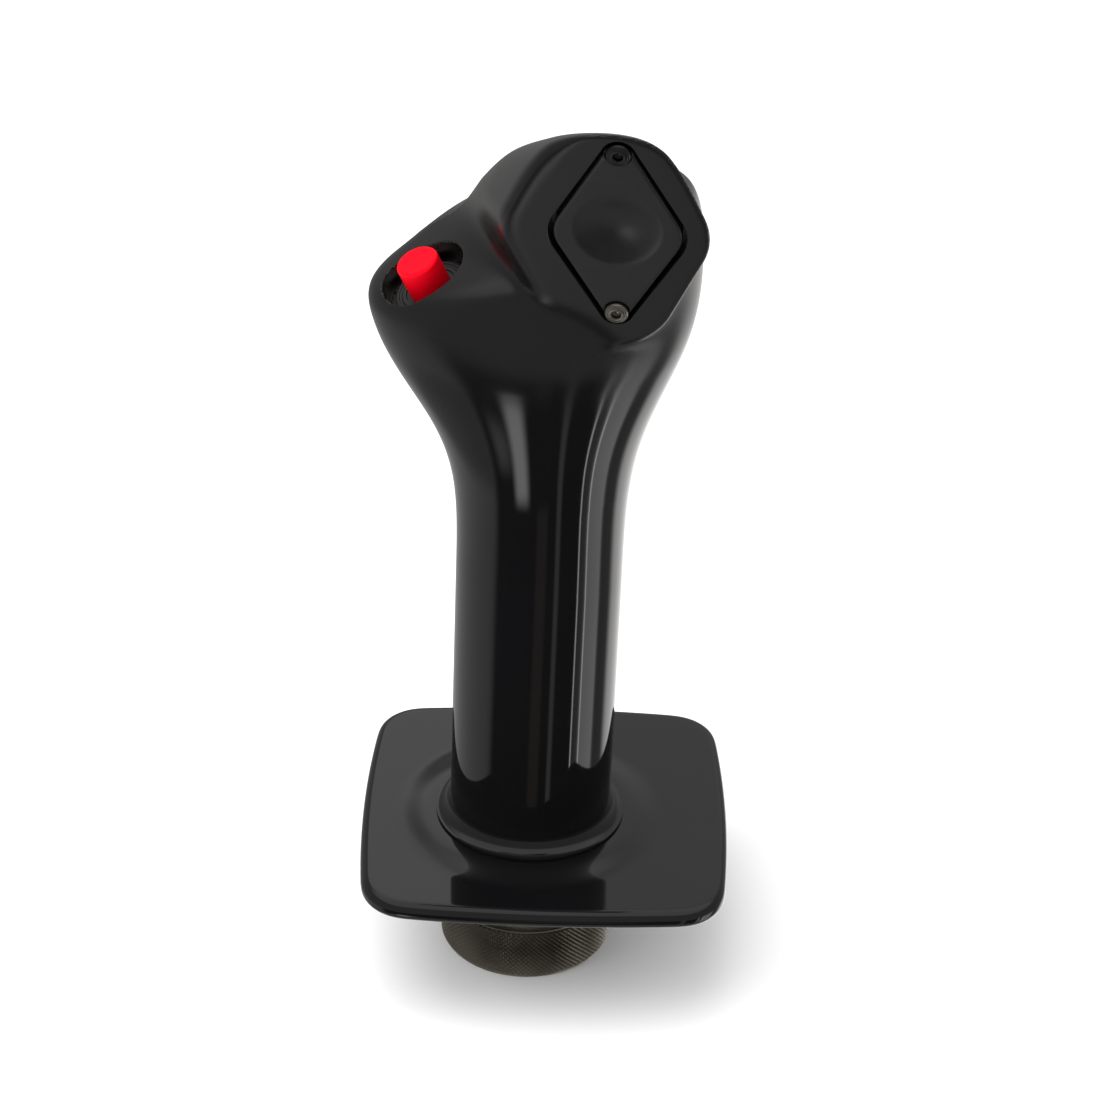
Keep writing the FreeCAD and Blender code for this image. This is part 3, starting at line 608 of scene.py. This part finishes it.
def diamond_outline(half_w, half_h, side_r, tip_r, arc=14, run=16):
    """Rounded diamond as points with outward normals, anticlockwise from the right side."""
    centres = [(half_w - side_r, 0, side_r), (0, half_h - tip_r, tip_r)]
    centres += [(side_r - half_w, 0, side_r), (0, tip_r - half_h, tip_r)]
    normals = []
    for i in range(4):
        ax, ay, ar = centres[i]
        bx, by, br = centres[(i + 1) % 4]
        along = math.atan2(by - ay, bx - ax)
        normals.append(along - math.acos((ar - br) / math.hypot(bx - ax, by - ay)))
    points, outward = [], []
    for i in range(4):
        cx, cy, cr = centres[i]
        start, end = normals[i - 1], normals[i]
        while end < start:
            end += 2 * math.pi
        for k in range(arc + 1):
            turn = start + (end - start) * k / arc
            points.append((cx + cr * math.cos(turn), cy + cr * math.sin(turn)))
            outward.append((math.cos(turn), math.sin(turn)))
        nx, ny, nr = centres[(i + 1) % 4]
        a = np.array(points[-1])
        b = np.array((nx + nr * math.cos(end), ny + nr * math.sin(end)))
        for k in range(1, run):
            points.append(tuple(a + (b - a) * k / run))
            outward.append((math.cos(end), math.sin(end)))
    return np.array(points), np.array(outward)


def on_facet(flat, w):
    """Facet coordinates to the row frame."""
    flat = np.asarray(flat, float)
    w = np.broadcast_to(w, len(flat))
    in_plane = FACET_CENTRE + np.outer(flat[:, 0], FACET_U) + np.outer(flat[:, 1], FACET_V)
    return in_plane + np.outer(w, FACET_N)


def facet_stack(points, outward, levels):
    """Stacked offset outlines as a closed solid: levels are (outward offset, w), low to high."""
    centre = np.array([0.0, PLATE_V])
    rings = [on_facet(points + outward * offset + centre, w) for offset, w in levels]
    return np.concatenate(rings), ring_faces(len(levels), len(points), closed=True)


def disc_solid(centre, levels, count=48):
    """Stacked discs on the facet as a closed solid: levels are (radius, w) from low to high."""
    _, circle = unit_circle(count)
    rings = [on_facet(circle * radius + np.array(centre), w) for radius, w in levels]
    return np.concatenate(rings), ring_faces(len(levels), count, closed=True)


def cutter(name, vertices, faces):
    """A temporary solid that carve takes out of a piece and then deletes."""
    mesh = bpy.data.meshes.new(name)
    mesh.from_pydata((vertices * MM).tolist(), [], faces)
    tool = bpy.data.objects.new(name, mesh)
    bpy.context.scene.collection.objects.link(tool)
    return tool


def carve(piece, tools):
    """Cut the tools out of a piece and keep only its finished mesh."""
    for tool in tools:
        step = piece.modifiers.new(tool.name, "BOOLEAN")
        step.operation = "DIFFERENCE"
        step.solver = "EXACT"
        step.object = tool
    bpy.context.view_layer.update()
    graph = bpy.context.evaluated_depsgraph_get()
    finished = bpy.data.meshes.new_from_object(piece.evaluated_get(graph))
    piece.modifiers.clear()
    piece.data = finished
    for tool in tools:
        bpy.data.objects.remove(tool)


def lip_levels(floor, radius=0.3, steps=5):
    """Wall from the floor up to the facet, then a rounded lip that opens above it."""
    levels = [(0.0, floor), (0.0, -radius)]
    for i in range(1, steps + 1):
        turn = math.pi / 2 * i / steps
        levels.append((radius * (1 - math.cos(turn)), -radius + radius * math.sin(turn)))
    levels.append((radius + 0.6, 0.9))
    return levels


def skin_normals(piece):
    """Corner normals from the form itself wherever a face belongs to the outer skin."""
    mesh = piece.data
    mesh.shade_smooth()
    mesh.set_sharp_from_angle(angle=math.radians(32))
    count = len(mesh.loops)
    corner = np.empty(count * 3)
    mesh.corner_normals.foreach_get("vector", corner)
    corner = corner.reshape(-1, 3)
    vertex = np.empty(len(mesh.vertices) * 3)
    mesh.vertices.foreach_get("co", vertex)
    vertex = vertex.reshape(-1, 3) / MM
    pick = np.empty(count, int)
    mesh.loops.foreach_get("vertex_index", pick)
    g = slope_of(vertex)
    g /= np.linalg.norm(g, axis=1)[:, None] + 1e-9
    off = np.abs(form(vertex))
    # below the join the handle is a plain round bar, down to the foot's fillet
    low = vertex[:, 2] < JOIN_Z + 0.5
    axis_x = LEAN * np.maximum(vertex[:, 2], LEAN_FOOT_Z)
    radial = np.stack([vertex[:, 0] - axis_x, vertex[:, 1]], 1)
    length = np.linalg.norm(radial, axis=1)
    g[low] = np.concatenate([radial / length[:, None], np.zeros((len(radial), 1))], 1)[low]
    on_bar = (vertex[:, 2] > FILLET_END_Z) & (np.abs(length - HANDLE_R) < 0.02)
    good = np.where(low, on_bar, off < 0.05)
    close = (corner * g[pick]).sum(1) > math.cos(math.radians(25))
    use = good[pick] & close
    corner[use] = g[pick][use]
    mesh.normals_split_custom_set(corner.tolist())


def paint_pocket(piece):
    """Paint faces along the thumb pocket's wall light metallic grey, a painted reflection of bright
    surroundings on the lacquered wall.
    """
    mesh = piece.data
    mesh.materials.append(POCKET_WALL_PAINTED_REFLECTION)
    count = len(mesh.polygons)
    centre = np.empty(count * 3)
    mesh.polygons.foreach_get("center", centre)
    normal = np.empty(count * 3)
    mesh.polygons.foreach_get("normal", normal)
    reach, height = from_button(centre.reshape(-1, 3) / MM)
    steep = np.abs(normal.reshape(-1, 3) @ BUTTON_AXIS) < 0.3
    # The mask has no lower limit on height, so steep faces further down the body, at the pocket's
    # distance from the button's axis, take the painted reflection too.
    wall = (np.abs(reach - BUTTON_POCKET_R) < 0.25) & (height < 6) & steep
    mesh.polygons.foreach_set("material_index", wall.astype(int))
    mesh.update()


def make_shell():
    """Lacquered handle and head in one skin, with the trigger's pocket cut in."""
    vertices, faces = shell_mesh()
    shell = new_piece("grip_body", vertices, faces, "grip", BODY_LACQUER)
    points, outward = diamond_outline(*POCKET_DIAMOND)
    vertices, faces = facet_stack(points, outward, lip_levels(POCKET_FLOOR))
    vertices[:len(points)] += POCKET_FLOOR_SLOPE * points[:, 1:] * FACET_N
    carve(shell, [cutter("cut_pocket", vertices, faces)])
    skin_normals(shell)
    paint_pocket(shell)
    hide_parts("grip_shell")


# ------------------------------------------------------------------ hand rest


def rest_outline():
    """Square with rounded corners and bowed sides, evenly sampled and smoothed."""
    hx, hy = REST_HALF - REST_BOW
    corner = REST_CORNER_R
    points = []
    quarter = np.linspace(0, math.pi / 2, 24)
    side = np.linspace(-1, 1, 60)[1:-1]
    for k in range(4):
        turn = math.pi / 2 * k
        ax, ay = (hx, hy) if k % 2 == 0 else (hy, hx)
        local = [(ax + REST_BOW * (1 - t * t), (ay - corner) * t) for t in side]
        local += [(ax - corner + corner * math.cos(q), ay - corner + corner * math.sin(q))
                  for q in quarter]
        c, s = round(math.cos(turn)), round(math.sin(turn))
        points += [(x * c - y * s, x * s + y * c) for x, y in local]
    points = np.array(points)
    for _ in range(14):
        points = (np.roll(points, 1, 0) + 2 * points + np.roll(points, -1, 0)) / 4
    along = np.roll(points, -1, 0) - np.roll(points, 1, 0)
    outward = np.stack([along[:, 1], -along[:, 0]], 1)
    outward /= np.linalg.norm(outward, axis=1)[:, None]
    return points + REST_CENTRE, outward


def make_rest():
    """Square plate with rounded edges that swells gently up to the handle's foot."""
    outline, outward = rest_outline()
    hub = np.array([FOOT_X, 0.0])
    angle = np.arctan2(outline[:, 1] - hub[1], outline[:, 0] - hub[0])
    around = np.stack([np.cos(angle), np.sin(angle)], 1)
    inset = outline - outward * REST_EDGE_R
    rings = []

    def add(points, z):
        rings.append(np.column_stack([points, np.broadcast_to(z, len(points))]))

    def spread(radius, share, z):
        """A ring between a circle round the hub and the plate's inset edge."""
        add(hub + around * radius + (inset - hub - around * radius) * share, z)

    add(hub + around * HUB_R, REST_Z)
    for share in np.linspace(0, 1, 8):
        spread(20, share, REST_Z)
    for turn in np.linspace(0, math.pi / 2, 9)[1:]:
        offset = REST_EDGE_R * (math.sin(turn) - 1)
        add(outline + outward * offset, REST_Z + REST_EDGE_R * (1 - math.cos(turn)))
    for turn in np.linspace(0, math.pi / 2, 11):
        offset = REST_EDGE_R * (math.cos(turn) - 1)
        add(outline + outward * offset, REST_TOP - REST_EDGE_R * (1 - math.sin(turn)))
    for share in np.linspace(1, 0, 16)[1:]:
        spread(BOSS_FOOT_R, share, REST_TOP)
    for share in np.linspace(0, 1, 14)[1:]:
        lift = BOSS_H * (1 - math.cos(math.pi * share)) / 2
        add(hub + around * (BOSS_FOOT_R + (BOSS_TOP_R - BOSS_FOOT_R) * share), REST_TOP + lift)
    add(hub + around * 23.0, REST_TOP + BOSS_H)
    add(hub + around * HUB_R, REST_TOP + BOSS_H)
    faces = loop_faces(len(rings), len(outline))
    rest = new_piece("hand_rest_plate", np.concatenate(rings), faces, "grip", LACQUER)
    sharpen(rest, 40)
    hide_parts("hand_rest")


# ------------------------------------------------------------------ trigger plate and screws


def make_plate():
    """Diamond plate with a rounded edge, a finger dish and seats for its two screws."""
    points, outward = diamond_outline(*PLATE_DIAMOND)
    flat = points + np.array([0.0, PLATE_V])
    dish = np.array([0.0, DISH_V])
    angle = np.arctan2(flat[:, 1] - dish[1], flat[:, 0] - dish[0])
    around = np.stack([np.cos(angle), np.sin(angle)], 1)
    face = -PLATE_RECESS
    rings = [on_facet(flat, face - PLATE_T), on_facet(flat, face - PLATE_EDGE_R)]
    for turn in np.linspace(0, math.pi / 2, 6)[1:]:
        offset = PLATE_EDGE_R * (math.cos(turn) - 1)
        rings.append(on_facet(flat + outward * offset, face - PLATE_EDGE_R * (1 - math.sin(turn))))
    inset = flat - outward * PLATE_EDGE_R
    rim = dish + around * DISH_R
    for share in np.linspace(1, 0, 10)[1:]:
        rings.append(on_facet(rim + (inset - dish - around * DISH_R) * share, face))
    for radius in np.linspace(DISH_R, 0.4, 22)[1:]:
        drop = DISH_DEPTH * (1 - (radius / DISH_R) ** 2) ** 1.5
        rings.append(on_facet(dish + around * radius, face - drop))
    faces = ring_faces(len(rings), len(points), closed=True)
    plate = new_piece("trigger_paddle", np.concatenate(rings), faces, "trigger",
                      PLATE_BLACK)
    tools = []
    for side in (-1, 1):
        v = PLATE_V + side * SCREW_V
        seat = face - 0.5
        hole = disc_solid((0, v), [(2.0, -9.0), (2.0, seat), (3.15, seat + 0.001), (3.15, 3.0)])
        tools.append(cutter("cut_seat", *hole))
    # the top ear is thinner underneath, where the plate rocks
    ear = np.array([(-20, PLATE_EAR_V), (20, PLATE_EAR_V), (20, 60), (-20, 60)])
    low, high = on_facet(ear, -6.0), on_facet(ear, face - 1.2)
    tools.append(cutter("cut_ear", np.concatenate([low, high]), ring_faces(2, 4, closed=True)))
    carve(plate, tools)
    sharpen(plate, 40)
    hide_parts("trigger_plate")


def make_screw(name, v, end, mat):
    """Button-head socket screw: domed head with a turned ring and a hexagon socket."""
    count = 48
    under = -PLATE_RECESS - 0.38
    top = under + SCREW_HEAD_H
    turn, circle = unit_circle(count)
    sector = np.mod(turn + math.pi / 6, math.pi / 3) - math.pi / 6
    hexagon = circle / np.cos(sector)[:, None]
    levels = [(circle * SCREW_SHANK_R, -end), (circle * SCREW_SHANK_R, under)]
    levels += [(circle * 2.7, under), (circle * SCREW_HEAD_R, under + 0.12)]
    levels += [(circle * SCREW_HEAD_R, under + 0.75), (circle * 2.7, under + 1.1)]
    levels += [(circle * 2.45, under + 1.38)]
    levels += [(circle * 2.2, top - 0.1), (circle * 2.05, top - 0.13), (circle * 1.95, top - 0.06)]
    levels += [(circle * 1.6, top), (circle * 1.3, top), (hexagon * 1.08, top - 0.06)]
    levels += [(hexagon * 1.0, top - 0.2), (hexagon * 1.0, top - 1.05), (circle * 0.4, top - 1.25)]
    rings = [on_facet(flat + np.array([0.0, v]), w) for flat, w in levels]
    faces = ring_faces(len(rings), count, closed=True)
    screw = new_piece(name, np.concatenate(rings), faces, "grip", mat)
    sharpen(screw, 38)
    return screw


# ------------------------------------------------------------------ thumb button


def make_button():
    """Red cap with a rounded edge and a slightly hollow top, and the grooved ring round it."""
    profile = [(0.05, CAP_BASE), (4.9, CAP_BASE), (5.0, -6.0), (CAP_R, CAP_SHOULDER)]
    for turn in np.linspace(0, math.pi / 2, 7)[1:]:
        radius = CAP_R - CAP_EDGE_R * (1 - math.cos(turn))
        profile.append((radius, CAP_SHOULDER + CAP_EDGE_R * math.sin(turn)))
    profile += [(3.7, 3.26), (2.9, 3.2), (1.6, 3.14), (0.05, 3.1)]
    vertices, faces = lathe_on_button(profile, closed=True)
    cap = new_piece("thumb_cap", vertices, faces, "button", RED)
    sharpen(cap, 50)
    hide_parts("button_cap")
    steps = [(6.05, TRIM_FOOT), (8.6, TRIM_FOOT), (8.65, -5.6), (8.6, -5.15), (8.3, TRIM_TOP)]
    steps += [(7.9, TRIM_TOP), (7.7, -5.4), (7.3, -5.45), (7.1, -5.1), (6.9, TRIM_TOP)]
    steps += [(6.25, TRIM_TOP), (6.05, -5.15), (6.05, TRIM_FOOT)]
    vertices, faces = lathe_on_button(rounded(steps, 0.12, 3), closed=False)
    bezel = new_piece("button_trim", vertices, faces, "grip", MOULDED)
    sharpen(bezel, 40)
    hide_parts("button_bezel")


# ------------------------------------------------------------------ knurled collar


def make_collar():
    """Diamond knurl outside, a true thread groove inside."""
    columns = KNURL_TEETH * 4
    turn, around = unit_circle(columns)
    rows = []

    def add(radius, z):
        radii = np.broadcast_to(radius, columns)[:, None]
        rows.append(np.column_stack([around * radii, np.broadcast_to(z, columns)]))

    # inside, from the lip down to the mouth
    add(NUT_LIP_R, NUT_H)
    add(NUT_LIP_R, NUT_LIP_Z)
    add(NUT_BORE_R, NUT_LIP_Z)
    add(NUT_BORE_R, THREAD_TOP_Z)
    for z in np.linspace(THREAD_TOP_Z, 0.0, 33):
        ramp = np.abs(np.mod(z / THREAD_PITCH - turn / (2 * math.pi), 1.0) * 2 - 1)
        fade = min(1.0, (THREAD_TOP_Z - z) / 0.5, z / 0.5)
        groove = THREAD_DEPTH * np.clip(ramp * 1.2 - 0.1, 0, 1)
        add(THREAD_MINOR_R + groove * max(fade, 0), z)
    # mouth and outer chamfer
    add(17.3, 0.0)
    add(21.2, 0.0)
    add(21.55, 0.35)
    # two crossing sets of grooves leave flat-topped diamonds
    x = turn * KNURL_TEETH / (2 * math.pi)
    low, high = 0.75, NUT_H - 0.75
    steps = round((high - low) / (KNURL_PITCH / 4))
    for z in np.linspace(low, high, steps + 1):
        y = z / KNURL_PITCH
        first = np.abs(np.mod(x + y, 1.0) - 0.5) * 2
        second = np.abs(np.mod(x - y, 1.0) - 0.5) * 2
        height = 1 - np.maximum(first, second)
        height = np.minimum(height * 2, 0.85) / 0.85
        fade = min((z - low) / 0.3 + 0.15, (high - z) / 0.3 + 0.15, 1.0)
        add(NUT_R - 0.42 + KNURL_DEPTH * height * fade, z)
    add(21.55, NUT_H - 0.35)
    add(21.2, NUT_H)
    faces = loop_faces(len(rows), columns)
    nut = new_piece("knurled_collar", np.concatenate(rows), faces, "collar", GUNMETAL,
                    smooth=False)
    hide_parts("collar_nut")


make_shell()
make_rest()
make_plate()
top_screw = make_screw("trigger_screw_top", PLATE_V + SCREW_V, 5.0, BLACK_STEEL)
make_screw("trigger_screw_low", PLATE_V - SCREW_V, 10.2, WORN_STEEL)
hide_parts("trigger_screws")
make_button()
make_collar()

# ------------------------------------------------------------------ camera, floor and light

# in metres; the camera stands in front of the grip and looks down at it
CAMERA_PLACE = (0.0037, -0.6110, 0.4706)
CAMERA_RIGHT = Vector((0.9996, 0.0148, 0.0254))
CAMERA_BACK = Vector((0.0, -0.8643, 0.5031))
CAMERA_LENS = 94.94
FLOOR_HALF = 6.0
LAMP_TARGET = (0, 0, 0.15)
# what anything but a mirrored ray sees
PALE_WORLD = (0.96, 0.96, 0.965)


def aim(obj, position, target):
    obj.location = position
    direction = Vector(target) - Vector(position)
    obj.rotation_euler = direction.to_track_quat("-Z", "Y").to_euler()


def make_camera():
    data = bpy.data.cameras.new("view")
    data.sensor_width = 36.0
    data.lens = CAMERA_LENS
    data.clip_start = 0.01
    camera = bpy.data.objects.new("view", data)
    bpy.context.scene.collection.objects.link(camera)
    back = CAMERA_BACK.normalized()
    up = back.cross(CAMERA_RIGHT).normalized()
    right = up.cross(back)
    turn = Matrix((right, up, back)).transposed().to_4x4()
    camera.matrix_world = Matrix.Translation(CAMERA_PLACE) @ turn
    bpy.context.scene.camera = camera


def make_floor():
    """Plain pale paper, left out of what the lacquer mirrors."""
    mesh = bpy.data.meshes.new("floor")
    corners = [(x * FLOOR_HALF, y * FLOOR_HALF, 0) for x, y in ((-1, -1), (1, -1), (1, 1), (-1, 1))]
    mesh.from_pydata(corners, [], [(0, 1, 2, 3)])
    floor = bpy.data.objects.new("floor", mesh)
    bpy.context.scene.collection.objects.link(floor)
    mat = bpy.data.materials.new("paper")
    mat.use_nodes = True
    shader = mat.node_tree.nodes["Principled BSDF"]
    shader.inputs["Base Color"].default_value = (0.93, 0.93, 0.93, 1)
    shader.inputs["Roughness"].default_value = 0.9
    shader.inputs["Specular IOR Level"].default_value = 0.1
    mesh.materials.append(mat)
    floor.visible_glossy = False


def softbox(name, position, size, power):
    """Square lamp that lights the grip but isn't mirrored in it."""
    data = bpy.data.lights.new(name, "AREA")
    data.shape = "SQUARE"
    data.size = size
    data.energy = power
    lamp = bpy.data.objects.new(name, data)
    bpy.context.scene.collection.objects.link(lamp)
    aim(lamp, position, LAMP_TARGET)
    lamp.visible_glossy = False


class StudioWorld:
    """Surroundings by direction: azimuth 0 is in front of the grip, 90 on its right."""

    def __init__(self):
        world = bpy.data.worlds.new("studio")
        bpy.context.scene.world = world
        world.use_nodes = True
        world.cycles.sampling_method = "NONE"
        self.nodes, self.links = world.node_tree.nodes, world.node_tree.links
        self.background = self.nodes["Background"]
        place = self.nodes.new("ShaderNodeTexCoord")
        split = self.nodes.new("ShaderNodeSeparateXYZ")
        self.links.new(place.outputs["Generated"], split.inputs[0])
        front = self.math("MULTIPLY", split.outputs["Y"], -1.0)
        degrees = 180 / math.pi
        turn = self.math("ARCTAN2", split.outputs["X"], front)
        self.azimuth = self.math("MULTIPLY", turn, degrees)
        self.height = self.math("MULTIPLY", self.math("ARCSINE", split.outputs["Z"]), degrees)
        self.value = None

    def math(self, operation, a, b=None):
        """Math node whose inputs are numbers or sockets."""
        node = self.nodes.new("ShaderNodeMath")
        node.operation = operation
        for socket, given in zip(node.inputs, (a, b)):
            if given is None:
                continue
            if isinstance(given, (int, float)):
                socket.default_value = given
            else:
                self.links.new(given, socket)
        return node.outputs[0]

    def ramp(self, source, middle, soft):
        """Smooth step either side of middle; it falls where soft is negative."""
        node = self.nodes.new("ShaderNodeMapRange")
        node.interpolation_type = "SMOOTHSTEP"
        self.links.new(source, node.inputs["Value"])
        node.inputs["From Min"].default_value = middle - soft
        node.inputs["From Max"].default_value = middle + soft
        return node.outputs["Result"]

    def start(self, colour):
        """The colour wherever no patch lies."""
        node = self.nodes.new("ShaderNodeRGB")
        node.outputs[0].default_value = (*colour, 1)
        self.value = node.outputs[0]

    def patch(self, azimuth, height, soft, colour):
        """Soft-edged patch of colour between two azimuths and two heights, in degrees."""
        mask = self.ramp(self.azimuth, azimuth[0], soft[0])
        for source, middle, width in (
            (self.azimuth, azimuth[1], -soft[0]),
            (self.height, height[0], soft[1]),
            (self.height, height[1], -soft[1]),
        ):
            mask = self.math("MULTIPLY", mask, self.ramp(source, middle, width))
        mix = self.nodes.new("ShaderNodeMix")
        mix.data_type = "RGBA"
        self.links.new(mask, mix.inputs["Factor"])
        self.links.new(self.value, mix.inputs["A"])
        mix.inputs["B"].default_value = (*colour, 1)
        self.value = mix.outputs["Result"]

    def finish(self, pale):
        """Mirrored rays see the patches; everything else sees the pale colour."""
        path = self.nodes.new("ShaderNodeLightPath")
        mix = self.nodes.new("ShaderNodeMix")
        mix.data_type = "RGBA"
        self.links.new(path.outputs["Is Glossy Ray"], mix.inputs["Factor"])
        mix.inputs["A"].default_value = (*pale, 1)
        self.links.new(self.value, mix.inputs["B"])
        self.links.new(mix.outputs["Result"], self.background.inputs["Color"])


def warm(grey):
    return (grey, grey * 0.985, grey * 0.975)


def make_light():
    world = StudioWorld()
    world.start((0.33, 0.325, 0.32))
    everywhere = (-400, 400)
    # above the grip, and the wall behind it to the left and right
    world.patch(everywhere, (46, 120), (1, 7), warm(0.95))
    world.patch((-400, -164), (27, 46), (5, 4), warm(0.95))
    world.patch((150, 400), (16, 46), (8, 6), warm(0.6))
    # table to the left
    world.patch((-400, -66), (-60, -28), (7, 3), warm(0.5))
    world.patch((-400, -62), (-70, -45), (9, 3), warm(0.27))
    # dark front, with a brown streak, a pale streak and a bright swoosh at its foot
    world.patch((-61, 56), (-54, -28.5), (5, 1.6), warm(0.035))
    world.patch((-5, 9), (-42, -28.5), (3, 2), (0.17, 0.145, 0.12))
    world.patch((21, 27), (-54, -20), (2, 3), warm(0.45))
    world.patch((-33, -17), (-55, -43), (5, 2), warm(2.4))
    world.patch((-52, -36), (-60, -48), (6, 2), warm(0.7))
    # two thin light strips round a bright panel on the right, then a dark gap and the rear right
    world.patch((54.5, 56), (-50, -26), (0.8, 3), warm(5.0))
    world.patch((66, 92), (-52, -24), (3, 4), warm(1.5))
    world.patch((67, 68.5), (-50, -26), (0.8, 3), warm(5.0))
    world.patch((95, 113), (-52, -24), (4, 4), warm(0.2))
    world.patch((118, 400), (-60, -16), (7, 6), warm(1.6))
    # straight below
    world.patch(everywhere, (-100, -55), (1, 1.5), warm(0.36))
    world.finish(PALE_WORLD)
    softbox("overhead", (-0.25, -0.15, 1.15), 0.9, 9.0)
    softbox("left_fill", (-0.9, -0.5, 0.7), 0.5, 4.0)


make_camera()
make_floor()
make_light()
bpy.context.scene.view_settings.view_transform = "Standard"
